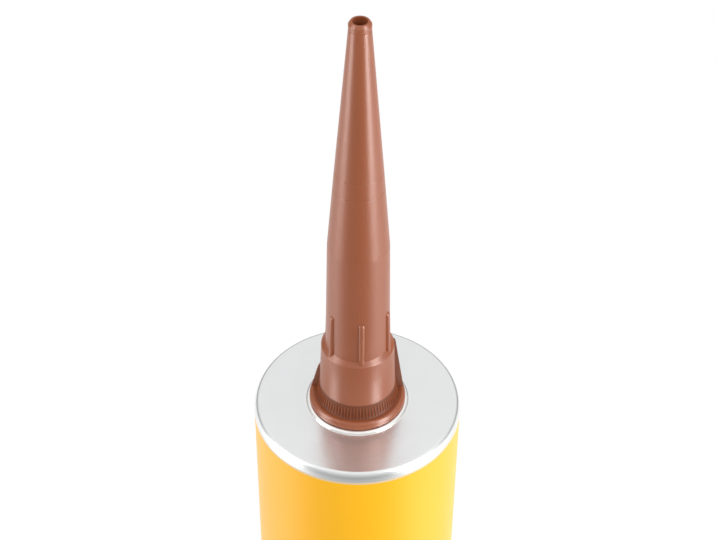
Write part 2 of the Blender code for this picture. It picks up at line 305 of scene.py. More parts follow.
@dataclass(frozen=True)
class Finish:
    """A surface finish, made into a material once."""

    name: str
    colour: Colour
    roughness: float
    patch_scale: float = 150.0
    patch_spread: float = 0.025
    rough_spread: float = 0.05

    def material(self) -> Material:
        """Return the finish's material."""
        return bpy.data.materials.get(self.name) or self.paint()

    def paint(self) -> Material:
        """Make the material."""
        raise NotImplementedError

    def mottle(self, sheet: ShaderSheet) -> Socket:
        """Return the colour, varied a little from patch to patch."""
        low, high = (shaded(self.colour, 1 + side * self.patch_spread) for side in (-1, 1))
        return sheet.blend(sheet.noise(self.patch_scale, 3.0), low, high)

    def scatter(self, sheet: ShaderSheet, height: Socket) -> Socket:
        """Return the roughness, varied with a height from 0 to 1."""
        ends = (self.roughness - self.rough_spread, self.roughness + self.rough_spread)
        return sheet.remap(height, NOISE_SPAN, ends)


@dataclass(frozen=True)
class TurnedAluminium(Finish):
    """Bare satin aluminium, with the faint rings that spinning leaves."""

    rough_spread: float = 0.035
    metallic: float = 0.86
    ring_scale: float = 2600.0
    ring_streak: float = 0.0015
    ring_depth: float = 0.0000009
    satin_scale: float = 5200.0
    satin_depth: float = 0.0000012

    def paint(self) -> Material:
        """Make the metal."""
        sheet = ShaderSheet(self.name, metallic=self.metallic)
        rings = sheet.turned(self.ring_streak)
        streaks = sheet.noise(self.ring_scale, 3.0, rings)
        satin = sheet.noise(self.satin_scale)
        relief = ((streaks, self.ring_depth), (satin, self.satin_depth))
        return sheet.finish(self.mottle(sheet), self.scatter(sheet, streaks), *relief)


@dataclass(frozen=True)
class Lacquer(Finish):
    """Glossy lacquer with painted light: paler and yellower on the side that faces the right-hand
    lamps, its colour running softly round the barrel.
    """

    rough_spread: float = 0.03
    specular: float = 0.36
    # Painted light: the paler, yellower colour of the side that the right-hand lamps light more,
    # and that side's compass angle.
    lit_side_colour: Colour = (1.0, 0.52, 0.001)
    lit_side_angle: float = radians(75)
    clouds: Clouds = Clouds(90.0, (0.3, 0.7), 0.05, 0.8)
    haze_scale: float = 1400.0
    peel_scale: float = 420.0
    peel_depth: float = 0.000004

    def paint(self) -> Material:
        """Make the lacquer."""
        sheet = ShaderSheet(self.name, specular_ior_level=self.specular)
        # Painted light: the lacquer blends towards the paler colour on the lit right side.
        ground = sheet.blend(sheet.towards(self.lit_side_angle), self.colour, self.lit_side_colour)
        colour = self.clouds.over(sheet, ground, self.colour)
        rough = self.scatter(sheet, sheet.noise(self.haze_scale))
        return sheet.finish(colour, rough, (sheet.noise(self.peel_scale, 1.0), self.peel_depth))


@dataclass(frozen=True)
class Grained(Finish):
    """A matt surface with one grain, drawn out round the axis if it has a streak."""

    grain_scale: float = 2400.0
    grain_detail: float = 2.0
    grain_depth: float = 0.000002
    streak: float = 0.0

    def paint(self) -> Material:
        """Make the surface."""
        sheet = ShaderSheet(self.name)
        where = sheet.turned(self.streak) if self.streak else sheet.place
        grain = sheet.noise(self.grain_scale, self.grain_detail, where)
        rough = self.scatter(sheet, grain)
        return sheet.finish(self.mottle(sheet), rough, (grain, self.grain_depth))


@dataclass(frozen=True)
class MouldedPlastic(Finish):
    """Moulded plastic with a fine spark-eroded grain, polished below one height."""

    patch_scale: float = 70.0
    patch_spread: float = 0.05
    specks: Clouds = Clouds(2600.0, (0.35, 0.7), 0.12, 0.7)
    grain_scale: float = 4300.0
    grain_depth: float = 0.000016
    grain_start: float = 0.0
    grain_fade: float = 0.0003
    polish: float = 0.9
    gloss: float = 0.55
    haze: float = 0.0
    haze_depth: float = 0.002

    def paint(self) -> Material:
        """Make the plastic."""
        sheet = ShaderSheet(
            self.name,
            subsurface_weight=self.haze,
            subsurface_scale=self.haze_depth,
            specular_ior_level=self.gloss,
        )
        grain = sheet.noise(self.grain_scale, 3.0)
        edge = (self.grain_start - self.grain_fade, self.grain_start + self.grain_fade)
        strength = sheet.remap(sheet.height, edge, (self.polish, 1.0), smooth=True)
        colour = self.specks.over(sheet, self.mottle(sheet), self.colour)
        rough = sheet.sum("MULTIPLY", self.scatter(sheet, grain), strength)
        relief = sheet.sum("MULTIPLY", grain, strength)
        return sheet.finish(colour, rough, (relief, self.grain_depth))


def rounded(corners: Sequence[Corner], steps: int = FILLET_STEPS) -> list[Point]:
    """Return an open outline with the corners between its ends rounded.

    Args:
        corners: The corners in order.
        steps: Pieces in each fillet.

    Returns:
        The outline's points.
    """
    spots = [Vector((corner.radius, corner.height)) for corner in corners]
    outline: list[Point] = []
    for index, (corner, here) in enumerate(zip(corners, spots)):
        if corner.fillet == 0 or not 0 < index < len(corners) - 1:
            outline.append(tuple(here))
            continue
        before = (spots[index - 1] - here).normalized()
        after = (spots[index + 1] - here).normalized()
        half = before.angle(after) / 2
        centre = here + (before + after).normalized() * corner.fillet / sin(half)
        first = (here + before * corner.fillet / tan(half) - centre).normalized()
        last = (here + after * corner.fillet / tan(half) - centre).normalized()
        arms = (first.slerp(last, step / steps) * corner.fillet for step in range(steps + 1))
        outline += [tuple(centre + arm) for arm in arms]
    return outline


def guarded(outline: Sequence[Point], closed: bool) -> list[Point]:
    """Return an outline with points near the ends of its long runs, which then shade flat.

    Args:
        outline: The outline's points.
        closed: Whether the last point joins the first.

    Returns:
        The outline with the points added.
    """
    ends = [*outline[1:], outline[0]] if closed else outline[1:]
    result: list[Point] = []
    for start, end in zip(outline, ends):
        run = Vector(end) - Vector(start)
        result.append(start)
        if run.length > SHORTEST_GUARDED:
            inset = run.normalized() * GUARD
            result += [tuple(Vector(start) + inset), tuple(Vector(end) - inset)]
    return result if closed else [*result, outline[-1]]


def arc(
    centre: Point, reach: Point, start: float, end: float, steps: int = FILLET_STEPS
) -> list[Point]:
    """Return points of a round or oval arc from one angle in degrees to another."""
    (across, up), (half_width, half_height) = centre, reach
    angles = [radians(start + (end - start) * step / steps) for step in range(steps + 1)]
    return [(across + half_width * cos(a), up + half_height * sin(a)) for a in angles]


def as_mesh(name: str, work: bmesh.types.BMesh) -> Mesh:
    """Weld a work mesh and return it smooth, with its sharp corners kept."""
    bmesh.ops.remove_doubles(work, verts=work.verts, dist=WELD)
    mesh = bpy.data.meshes.new(name)
    work.to_mesh(mesh)
    work.free()
    mesh.shade_smooth()
    mesh.set_sharp_from_angle(angle=SHARP_ANGLE)
    return mesh


def turned(
    name: str, outline: Sequence[Point], closed: bool = False, steps: int = TURN_STEPS
) -> Mesh:
    """Turn an outline round the upright axis.

    Args:
        name: The mesh's name.
        outline: Points of (radius, height), running down the outer side.
        closed: Whether the outline closes on itself; else it ends on the axis.
        steps: Faces round the turn.

    Returns:
        The mesh.
    """
    work = bmesh.new()
    angles = [2 * pi * step / steps for step in range(steps)]
    rows: list[list[bmesh.types.BMVert]] = []
    for radius, height in guarded(outline, closed):
        spots = angles if radius > WELD else angles[:1]
        rows.append([work.verts.new((radius * sin(a), -radius * cos(a), height)) for a in spots])
    lowers = [*rows[1:], rows[0]] if closed else rows[1:]
    for upper, lower in zip(rows, lowers):
        for step in range(steps):
            after = (step + 1) % steps
            ring = [(upper, step), (lower, step), (lower, after), (upper, after)]
            work.faces.new(dict.fromkeys(row[spot % len(row)] for row, spot in ring))
    return as_mesh(name, work)


def fin(
    name: str,
    roots: Sequence[Point],
    crests: Sequence[Point],
    width: float,
    across: int,
    fullness: float = SQUARE_FIN,
) -> Mesh:
    """Loft a closed fin that stands at the front, in the plane of the axis.

    Args:
        name: The mesh's name.
        roots: Points of (radius, height) along its root, inside what carries it.
        crests: As many points along its outer edge.
        width: Its thickness at the root.
        across: Faces across it.
        fullness: How square its section is.

    Returns:
        The mesh.
    """
    work = bmesh.new()
    loops = []
    for root, crest in zip(roots, crests):
        loop = []
        for step in range(across + 1):
            side = 2 * step / across - 1
            share = sqrt(max(0.0, 1 - abs(side) ** fullness))
            radius, height = Vector(root).lerp(Vector(crest), share)
            loop.append(work.verts.new((side * width / 2, -radius, height)))
        loops.append(loop)
    for first, second in zip(loops, loops[1:]):
        for step in range(across + 1):
            after = (step + 1) % (across + 1)
            work.faces.new((first[step], first[after], second[after], second[step]))
    work.faces.new(loops[0])
    work.faces.new(loops[-1])
    bmesh.ops.recalc_face_normals(work, faces=work.faces)
    return as_mesh(name, work)


def span(start: float, end: float, count: int) -> list[float]:
    """Return evenly spaced values from start to end."""
    return [start + (end - start) * step / (count - 1) for step in range(count)]


class GeometryTree(NodeSheet):
    """A geometry node group with named inputs."""

    def __init__(self, name: str, inputs: Mapping[str, str]) -> None:
        """Make the group.

        Args:
            name: Its name.
            inputs: Socket kinds by name, after the incoming geometry.
        """
        super().__init__(bpy.data.node_groups.new(name, "GeometryNodeTree"))
        sides = self.tree.interface
        sides.new_socket("Geometry", in_out="INPUT", socket_type="NodeSocketGeometry")
        for label, kind in inputs.items():
            sides.new_socket(label, in_out="INPUT", socket_type="NodeSocket" + kind)
        sides.new_socket("Geometry", in_out="OUTPUT", socket_type="NodeSocketGeometry")
        self.given = self.put("NodeGroupInput").outputs

    def close(self, geometry: Socket) -> None:
        """End the tree: realize the copies, give them their finish, and put them out."""
        plain = self.put("GeometryNodeRealizeInstances", {0: geometry}).outputs[0]
        inputs = {"Geometry": plain, "Material": self.given["Finish"]}
        self.put("NodeGroupOutput", {0: self.put("GeometryNodeSetMaterial", inputs).outputs[0]})

    def run(self, name: str, seed: Mesh, **values: object) -> Mesh:
        """Run the group on a mesh.

        Args:
            name: The result's name.
            seed: The incoming mesh.
            values: Input values by name, with _ for a space.

        Returns:
            The plain mesh that results.
        """
        thing = placed(name, seed)
        modifier = thing.modifiers.new(self.tree.name, "NODES")
        modifier.node_group = self.tree
        for item in self.tree.interface.items_tree:
            key = item.name.lower().replace(" ", "_")
            if item.in_out == "INPUT" and key in values:
                modifier[item.identifier] = values[key]
        depsgraph = bpy.context.evaluated_depsgraph_get()
        mesh = bpy.data.meshes.new_from_object(thing.evaluated_get(depsgraph))
        thing.modifiers.remove(modifier)
        bpy.data.objects.remove(thing)
        mesh.name = name
        return mesh


def ring_of_copies() -> GeometryTree:
    """Return the group that repeats a front piece round the upright axis."""
    kinds = {"Count": "Int", "First Angle": "Float", "Finish": "Material"}
    tree = GeometryTree("ring_of_copies", kinds)
    spots = tree.put("GeometryNodePoints", {"Count": tree.given["Count"]}).outputs[0]
    index = tree.put("GeometryNodeInputIndex").outputs[0]
    turn = tree.sum("DIVIDE", tree.sum("MULTIPLY", index, 2 * pi), tree.given["Count"])
    angle = tree.sum("ADD", turn, tree.given["First Angle"])
    euler = tree.put("ShaderNodeCombineXYZ", {2: angle}).outputs[0]
    rotation = tree.put("FunctionNodeEulerToRotation", {0: euler}).outputs[0]
    inputs = {"Points": spots, "Instance": tree.given["Geometry"], "Rotation": rotation}
    tree.close(tree.put("GeometryNodeInstanceOnPoints", inputs).outputs[0])
    return tree


def thread_ridge() -> GeometryTree:
    """Return the group that sweeps a ridge up a helix and fades it out at both ends."""
    sizes = ("Path Radius", "Ridge Radius", "Rise", "Turns", "Start Height", "Fade Share")
    kinds = {**{name: "Float" for name in sizes}, "Finish": "Material"}
    tree = GeometryTree("thread_ridge", kinds)
    given = tree.given
    spiral = {"Resolution": THREAD_STEPS, "Rotations": given["Turns"], "Height": given["Rise"]}
    spiral |= {end: given["Path Radius"] for end in ("Start Radius", "End Radius")}
    helix = tree.put("GeometryNodeCurveSpiral", spiral).outputs[0]
    factor = tree.put("GeometryNodeSplineParameter").outputs["Factor"]
    near_end = tree.sum("MINIMUM", factor, tree.sum("SUBTRACT", 1.0, factor))
    rising = tree.sum("DIVIDE", near_end, given["Fade Share"])
    full = tree.sum("MAXIMUM", tree.sum("MINIMUM", rising, 1.0), THREAD_END)
    circle = {"Resolution": THREAD_SIDES, "Radius": given["Ridge Radius"]}
    section = tree.put("GeometryNodeCurvePrimitiveCircle", circle).outputs[0]
    sweep = {"Curve": helix, "Profile Curve": section, "Scale": full, "Fill Caps": True}
    ridge = tree.put("GeometryNodeCurveToMesh", sweep).outputs[0]
    lift = tree.put("ShaderNodeCombineXYZ", {2: given["Start Height"]}).outputs[0]
    raised = tree.put("GeometryNodeTransform", {"Geometry": ridge, "Translation": lift}).outputs[0]
    tree.close(tree.put("GeometryNodeSetShadeSmooth", {"Geometry": raised}).outputs[0])
    return tree


@dataclass
class SubAssembly:
    """What the sub-assemblies share."""

    datum: Datum
    ring: GeometryTree
    body = Body.CARTRIDGE
    slot = Slot.METAL

    def repeat(
        self, name: str, seed: Mesh, count: int, finish: Finish, first_angle: float = 0.0
    ) -> Mesh:
        """Return even copies of a front piece round the axis, in a finish."""
        material = finish.material()
        return self.ring.run(name, seed, count=count, first_angle=first_angle, finish=material)

    def put_down(
        self, mesh: Mesh, finishes: Sequence[Finish] = (), *nodes: str
    ) -> bpy.types.Object:
        """Make a mesh a piece of the model.

        Args:
            mesh: The finished mesh, with its place in its points.
            finishes: The finishes of its slots, or none if it has its own.
            nodes: The solids that it stands for.

        Returns:
            The piece.
        """
        piece = placed(mesh.name, mesh)
        for finish in finishes:
            mesh.materials.append(finish.material())
        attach(piece, self.body.value)
        if nodes:
            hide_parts(*nodes)
        LOG.info("%s: %d faces on %s", piece.name, len(mesh.polygons), self.body.value)
        return piece


@dataclass
class Cartridge(SubAssembly):
    """The monobloc aluminium barrel, with its shoulder, boss and threaded neck."""

    neck_height: float = 0.0135
    neck_radius: float = 0.006
    neck_fillet: float = 0.0003
    neck_bore: float = 0.005
    membrane: float = 0.0005
    boss_radius: float = 0.0117
    boss_height: float = 0.0006
    boss_edge: float = 0.0008
    rim_reach: float = 0.0011
    rim_drop: float = 0.0019
    wall: float = 0.0005
    shoulder_thickness: float = 0.0015
    inner_corner: float = 0.0008
    ground_start: float = 0.0025
    lacquer_start: float = 0.0031
    lacquer_foot: float = 0.0006
    roll: float = 0.001
    hem_radius: float = 0.0207
    thread_depth: float = 0.0006
    thread_round: float = 0.0009
    thread_pitch: float = 0.0034
    thread_start: float = 0.0032
    thread_turns: float = 2.5
    thread_fade: float = 0.08
    metal: Finish = TurnedAluminium("satin_aluminium", (0.83, 0.84, 0.845), 0.24)
    burnished: Finish = TurnedAluminium("burnished_aluminium", (0.95, 0.93, 0.9), 0.16)
    ground: Finish = Grained("pale_ground_coat", (0.72, 0.56, 0.35), 0.45, 700.0, 0.04)
    lacquer: Finish = Lacquer("amber_lacquer", (1.0, 0.47, 0.0008), 0.32)

    @property
    def shoulder(self) -> float:
        """Height of the shoulder's face."""
        return self.datum.barrel.top - self.neck_height

    def outline(self) -> list[Point]:
        """Return the section, down the outside from the membrane and back up the bore."""
        radius, top, neck_top = self.datum.barrel.radius, self.shoulder, self.datum.barrel.top
        bore, under = radius - self.wall, top - self.shoulder_thickness
        corners = [
            Corner(0, neck_top),
            Corner(self.neck_radius, neck_top, self.neck_fillet),
            Corner(self.neck_radius, top + self.boss_height, self.neck_fillet),
            Corner(self.boss_radius - self.boss_edge, top + self.boss_height),
        ]
        crown_centre = (self.boss_radius - self.boss_edge, top)
        crown = arc(crown_centre, (self.boss_edge, self.boss_height), 90, 0)
        rim_centre = (radius - self.rim_reach, top - self.rim_drop)
        rim = arc(rim_centre, (self.rim_reach, self.rim_drop), 90, 0, FINE_STEPS)
        lower = [
            Corner(radius, top - self.rim_drop),
            Corner(radius, top - self.ground_start),
            Corner(radius, top - self.lacquer_start),
            Corner(radius, 0, self.roll),
            Corner(self.hem_radius, 0, self.roll),
            Corner(self.hem_radius, self.roll),
            Corner(self.hem_radius + self.wall, self.roll),
            Corner(self.hem_radius + self.wall, self.wall, self.roll - self.wall),
            Corner(bore, self.wall, self.roll - self.wall),
            Corner(bore, under, self.inner_corner),
            Corner(self.neck_bore, under),
            Corner(self.neck_bore, neck_top - self.membrane),
            Corner(0, neck_top - self.membrane),
        ]
        return rounded(corners)[:-1] + crown + rim[:-1] + rounded(lower)

    def dress(self, mesh: Mesh) -> None:
        """Give the outer wall its ground coat and lacquer, and the boss its burnish."""
        metal, ground, lacquer, burnished = range(4)
        skin = self.datum.barrel.radius - self.wall / 2
        for face in mesh.polygons:
            radius, depth = face.center.xy.length, self.shoulder - face.center.z
            face.material_index = metal
            if depth > self.ground_start and radius > skin and face.center.z > self.lacquer_foot:
                face.material_index = lacquer if depth > self.lacquer_start else ground
            elif radius > self.neck_radius and -self.boss_height - WELD < depth < -WELD:
                face.material_index = burnished

    def thread(self) -> Mesh:
        """Return the neck's rolled thread."""
        return thread_ridge().run(
            "neck_thread",
            bpy.data.meshes.new("thread_seed"),
            path_radius=self.neck_radius + self.thread_depth - self.thread_round,
            ridge_radius=self.thread_round,
            rise=self.thread_pitch * self.thread_turns,
            turns=self.thread_turns,
            start_height=self.shoulder + self.thread_start,
            fade_share=self.thread_fade,
            finish=self.metal.material(),
        )

    def build(self) -> None:
        """Build the barrel and its thread."""
        barrel = turned("barrel", self.outline())
        self.dress(barrel)
        finishes = (self.metal, self.ground, self.lacquer, self.burnished)
        self.put_down(barrel, finishes, "cartridge")
        self.put_down(self.thread())


@dataclass
class Nozzle(SubAssembly):
    """The moulded nozzle: skirt with lip and teeth, ribbed tube, long cone and cut tip."""

    body = Body.NOZZLE
    slot = Slot.NOZZLE
    wall: float = 0.00115
    socket_radius: float = 0.00695
    socket_depth: float = 0.0143
    mouth_chamfer: float = 0.0005
    skirt_radius: float = 0.0081
    skirt_foot_radius: float = 0.00855
    skirt_foot: float = 0.0052
    skirt_height: float = 0.0165
    ledge_fillet: float = 0.00022
    tube_start: float = 0.0175
    tube_radius: float = 0.00712
    tube_top_radius: float = 0.00665
    cone_start: float = 0.0455
    cone_fillet: float = 0.004
    break_height: float = 0.0652
    break_radius: float = 0.00511
    collar_radius: float = 0.00231
    collar_height: float = 0.0018
    tip_chamfer: float = 0.0006
    tip_radius: float = 0.0019
    tip_fillet: float = 0.00015
    collar_fillet: float = 0.0002
    hole_radius: float = 0.0015
    hole_depth: float = 0.0023
    channel_radius: float = 0.00945
    channel_width: float = 0.0009
    channel_depth: float = 0.0038
    lip_radius: float = 0.0109
    lip_width: float = 0.0009
    lip_edge: float = 0.0004
    lip_rise: float = 0.0002
    groove_depth: float = 0.00007
    groove_width: float = 0.00028
    lower_groove: float = 0.0609
    sink: float = 0.0004
    tooth_count: int = 78
    tooth_width: float = 0.0003
    tooth_drop: float = 0.0007
    tooth_rise: float = 0.00014
    tooth_arc: tuple[float, float, int] = (190.0, 262.0, 3)
    tooth_faces: int = 4
    rib_count: int = 6
    rib_length: float = 0.0108
    rib_width: float = 0.0014
    rib_height: float = 0.0007
    rib_slope: float = 0.0004
    rib_first: float = radians(7)
    rib_steps: int = 5
    rib_end_steps: int = 10
    rib_faces: int = 16
    gusset_width: float = 0.001
    gusset_faces: int = 12
    gusset_margin: float = 0.0003
    tall_gusset: float = radians(100)
    tall_gusset_head: float = 0.0004
    tall_gusset_foot: float = 0.001
    low_gusset: float = radians(-100)
    low_gusset_drop: float = 0.0069
    low_gusset_foot: float = 0.0009
    low_gusset_head: tuple[Point, ...] = ((-0.0002, -0.0002), (0.0005, 0.001), (0.001, 0.002))
    plastic: Finish = MouldedPlastic(
        "brown_moulded_plastic", (0.305, 0.084, 0.031), 0.32, grain_start=0.2178
    )
    # Painted shade: a darker brown for the channel and the gussets, where shade falls between the
    # skirt and the lip.
    painted_shade: Finish = MouldedPlastic("brown_plastic_recess", (0.17, 0.047, 0.018), 0.5, gloss=0.25)
    dull: Finish = MouldedPlastic("brown_plastic_teeth", (0.305, 0.084, 0.031), 0.5, gloss=0.2)

    def cone_radius(self, height: float) -> float:
        """Return the outer radius of the tube and cone at a height above the seat."""
        stations = [
            (self.tube_start, self.tube_radius),
            (self.cone_start, self.tube_top_radius),
            (self.break_height, self.break_radius),
            (self.length - self.collar_height, self.collar_radius),
        ]
        for (low, wide), (high, narrow) in zip(stations, stations[1:]):
            if height <= high:
                return wide + (narrow - wide) * (height - low) / (high - low)
        return self.collar_radius

    @property
    def length(self) -> float:
        """Length from the seat to the tip."""
        return self.datum.nozzle.top - self.datum.nozzle.foot

    @property
    def channel_floor(self) -> float:
        """Height of the channel's floor above the seat."""
        return self.skirt_foot - self.channel_depth

    def channel(self, first: float, last: float, steps: int) -> list[Point]:
        """Return points of the channel's oval between two angles in degrees."""
        centre = (self.channel_radius, self.skirt_foot)
        return arc(centre, (self.channel_width, self.channel_depth), first, last, steps)

    def groove(self, height: float) -> list[Corner]:
        """Return the corners of a fine witness groove round the cone, from its top down."""
        edge = self.groove_width / 2
        return [
            Corner(self.cone_radius(height + edge), height + edge),
            Corner(self.cone_radius(height) - self.groove_depth, height),
            Corner(self.cone_radius(height - edge), height - edge),
        ]

    def outline(self) -> list[Point]:
        """Return the closed section, down the outside from the tip and back up the bore."""
        crest = self.channel_floor + self.lip_rise
        lip_start = self.lip_radius - self.lip_width
        upper = [
            Corner(self.hole_radius, self.length),
            Corner(self.tip_radius, self.length, self.tip_fillet),
            Corner(self.collar_radius, self.length - self.tip_chamfer, self.collar_fillet),
            *self.groove(self.length - self.collar_height),
            *self.groove(self.break_height),
            *self.groove(self.lower_groove),
            Corner(self.tube_top_radius, self.cone_start, self.cone_fillet),
            Corner(self.tube_radius, self.tube_start, self.ledge_fillet),
            Corner(self.skirt_radius, self.skirt_height, self.ledge_fillet),
            Corner(self.skirt_foot_radius, self.skirt_foot),
        ]
        lip_reach = (self.lip_width, crest - self.lip_edge)
        lip = arc((lip_start, self.lip_edge), lip_reach, 90, 0)
        lower = [
            Corner(self.lip_radius, 0),
            Corner(self.socket_radius + self.mouth_chamfer, 0),
            Corner(self.socket_radius, self.mouth_chamfer),
            Corner(self.socket_radius, self.socket_depth),
            Corner(self.tube_radius - self.wall, self.socket_depth, self.ledge_fillet),
            Corner(self.tube_top_radius - self.wall, self.cone_start),
            Corner(self.break_radius - self.wall, self.break_height),
            Corner(self.hole_radius, self.length - self.hole_depth),
            Corner(self.hole_radius, self.length),
        ]
        channel = self.channel(180, 270, FINE_STEPS)
        return rounded(upper)[:-1] + channel + lip + rounded(lower)[:-1]

    def tooth(self) -> Mesh:
        """Return one fine tooth, which bridges the channel under the skirt."""
        head, foot = self.skirt_foot - self.tooth_drop, self.channel_floor + self.tooth_rise
        inner, outer = self.skirt_foot_radius + self.sink / 4, self.channel_radius - self.sink / 2
        path = self.channel(*self.tooth_arc)
        roots = [(radius - self.sink, height - self.sink) for radius, height in path]
        crests = list(zip(span(inner, outer, len(path)), span(head, foot, len(path))))
        return fin("tooth", roots, crests, self.tooth_width, self.tooth_faces)

    def rib(self) -> Mesh:
        """Return one rib, which stands on the ledge and fades into the tube."""
        foot, top = self.skirt_height - self.sink, self.tube_start + self.rib_length
        shares = span(1 / self.rib_end_steps, 1, self.rib_end_steps)
        heights = span(foot, top - self.rib_height, self.rib_steps)
        heights += [top - self.rib_height * (1 - share) for share in shares]
        roots, crests = [], []
        for height in heights:
            surface = self.cone_radius(height)
            run = (height - foot) / (top - foot)
            rise = self.tube_radius + self.rib_height - self.rib_slope * run - surface
            late = max(0.0, (height - top + self.rib_height) / self.rib_height)
            roots.append((surface - self.sink, height))
            crest = surface + rise * sqrt(max(0.0, 1 - late ** 2)) - self.sink * late / 4
            crests.append((crest, height))
        return fin("rib", roots, crests, self.rib_width, self.rib_faces, SOFT_FIN)

    def gussets(self) -> list[Mesh]:
        """Return the tall and the low gusset."""
        outer, head = self.lip_radius - self.gusset_margin, self.tall_gusset_head
        low_top = self.skirt_height - self.low_gusset_drop
        tall = [(0.0, 0.0), (head, head)]
        plans = (
            ("tall_gusset", self.tall_gusset, self.skirt_height, tall, self.tall_gusset_foot),
            ("low_gusset", self.low_gusset, low_top, self.low_gusset_head, self.low_gusset_foot),
        )
        meshes = []
        for name, angle, top, steps, foot in plans:
            edge = [(self.skirt_radius + out, top - down) for out, down in steps]
            edge += [(outer, self.lip_edge + foot), (outer, self.lip_edge)]
            roots = [(self.skirt_radius - self.sink, height) for _, height in edge]
            mesh = fin(name, roots, edge, self.gusset_width, self.gusset_faces)
            mesh.transform(Matrix.Rotation(angle, 4, "Z"))
            meshes.append(mesh)
        return meshes

    def dress(self, shell: Mesh) -> None:
        """Give the channel its duller surface, darkened with painted shade."""
        inner, outer = self.channel_radius - self.channel_width, self.channel_radius
        for face in shell.polygons:
            radius, height = face.center.xy.length, face.center.z
            if inner - self.groove_depth < radius < outer:
                face.material_index = int(self.channel_floor < height < self.skirt_foot)

    def build(self) -> None:
        """Build the nozzle's shell, ribs, teeth and gussets."""
        shell = turned("nozzle_shell", self.outline(), closed=True)
        self.dress(shell)
        ribs = self.repeat("nozzle_ribs", self.rib(), self.rib_count, self.plastic, self.rib_first)
        teeth = self.repeat("lip_teeth", self.tooth(), self.tooth_count, self.dull)
        lift = Matrix.Translation((0, 0, self.datum.nozzle.foot))
        pieces = [(shell, (self.plastic, self.painted_shade)), (ribs, ()), (teeth, ())]
        # The gussets take the painted shade too.
        for mesh, finishes in pieces + [(gusset, (self.painted_shade,)) for gusset in self.gussets()]:
            mesh.transform(lift)
            self.put_down(mesh, finishes, *(("nozzle",) if mesh is shell else ()))


@dataclass
class Piston(SubAssembly):
    """The moulded piston: a flat-fronted cup with sealing bands, a ring and ribs."""

    body = Body.PISTON
    slot = Slot.PISTON
    wall: float = 0.0014
    front: float = 0.0016
    chamfer: float = 0.0008
    band: float = 0.0035
    relief: float = 0.0005
    ring_radius: float = 0.0085
    ring_wall: float = 0.0012
    rib_count: int = 8
    rib_height: float = 0.003
    rib_width: float = 0.0012
    sink: float = 0.0002
    edge: float = 0.0003
    rib_steps: int = 4
    rib_faces: int = 10
    turn_steps: int = 192
    fillet_steps: int = 5
    plastic: Finish = MouldedPlastic("milky_plastic", (0.82, 0.81, 0.76), 0.45, haze=0.25)

    def outline(self) -> list[Point]:
        """Return the section, from the front down the outside and back up inside the cup."""
        datum = self.datum
        radius, seat, front = datum.piston.radius, datum.piston.foot, datum.piston.top
        cup, waist, edge = radius - self.wall, radius - self.relief, self.edge
        under, low = front - self.front, front - self.front - self.rib_height
        outer, inner = self.ring_radius, self.ring_radius - self.ring_wall
        corners = [
            Corner(0, front),
            Corner(radius, front, self.chamfer),
            Corner(radius, front - self.band, edge),
            Corner(waist, front - self.band - self.relief, edge),
            Corner(waist, seat + self.band + self.relief, edge),
            Corner(radius, seat + self.band, edge),
            Corner(radius, seat, edge),
            Corner(cup, seat, edge),
            Corner(cup, under, self.chamfer),
            Corner(outer, under, edge),
            Corner(outer, low, edge),
            Corner(inner, low, edge),
            Corner(inner, under, edge),
            Corner(0, under),
        ]
        return rounded(corners, self.fillet_steps)

    def rib(self) -> Mesh:
        """Return one stiffening rib under the front, from the ring to the wall."""
        under = self.datum.piston.top - self.front
        outer = self.datum.piston.radius - self.wall + self.sink
        radii = span(self.ring_radius - self.sink, outer, self.rib_steps)
        roots = [(radius, under + self.sink) for radius in radii]
        crests = [(radius, under - self.rib_height + self.edge) for radius in radii]
        return fin("piston_rib", roots, crests, self.rib_width, self.rib_faces)

    def build(self) -> None:
        """Build the piston and its ribs."""
        cup = turned("piston_cup", self.outline(), steps=self.turn_steps)
        self.put_down(cup, (self.plastic,), "piston")
        self.put_down(self.repeat("piston_ribs", self.rib(), self.rib_count, self.plastic))


@dataclass
class Filling(SubAssembly):
    """The sealant: the column that the piston presses, and the plug in the neck."""

    slot = Slot.FILLING
    neck_radius: float = 0.0047
    gap: float = 0.0003
    corner: float = 0.0008
    least_share: float = 0.0005
    column_steps: int = 128
    plug_steps: int = 96
    joint: str = "piston_slide"
    paste: Finish = Grained(
        "brown_paste", (0.25, 0.085, 0.045), 0.5, patch_scale=220.0, patch_spread=0.08,
        rough_spread=0.08, grain_scale=900.0, grain_detail=4.0, grain_depth=0.00006, streak=0.004,
    )

    @property
    def column_top(self) -> float:
        """Height of the column's top, under the shoulder."""
        shoulder = self.datum.barrel.top - Cartridge.neck_height
        return shoulder - Cartridge.shoulder_thickness - self.gap

    def keep_share(self) -> float:
        """Return the share of the column that is left when the piston is forward."""
        slide = next(joint for joint in frame["joints"] if joint["name"] == self.joint)
        share = 1 - max(slide["range_m"]) / (self.column_top - self.datum.filling.foot)
        return max(share, self.least_share)

    def build(self) -> None:
        """Build the column and the plug."""
        radius, foot, top = self.datum.filling.radius, self.datum.filling.foot, self.column_top
        column = [
            Corner(0, top),
            Corner(radius, top, self.corner),
            Corner(radius, foot, self.gap),
            Corner(0, foot),
        ]
        plug = [
            Corner(0, self.datum.filling.top),
            Corner(self.neck_radius, self.datum.filling.top, self.gap),
            Corner(self.neck_radius, top),
            Corner(0, top),
        ]
        mesh = turned("sealant_column", rounded(column), steps=self.column_steps)
        filling = self.put_down(mesh, (self.paste,), "sealant")
        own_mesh(filling)
        mesh = turned("sealant_plug", rounded(plug), steps=self.plug_steps)
        self.put_down(mesh, (self.paste,))


class Use(Enum):
    """What a lamp is for: even light, or the long highlights."""

    LIGHT = "light"
    GLOSS = "gloss"


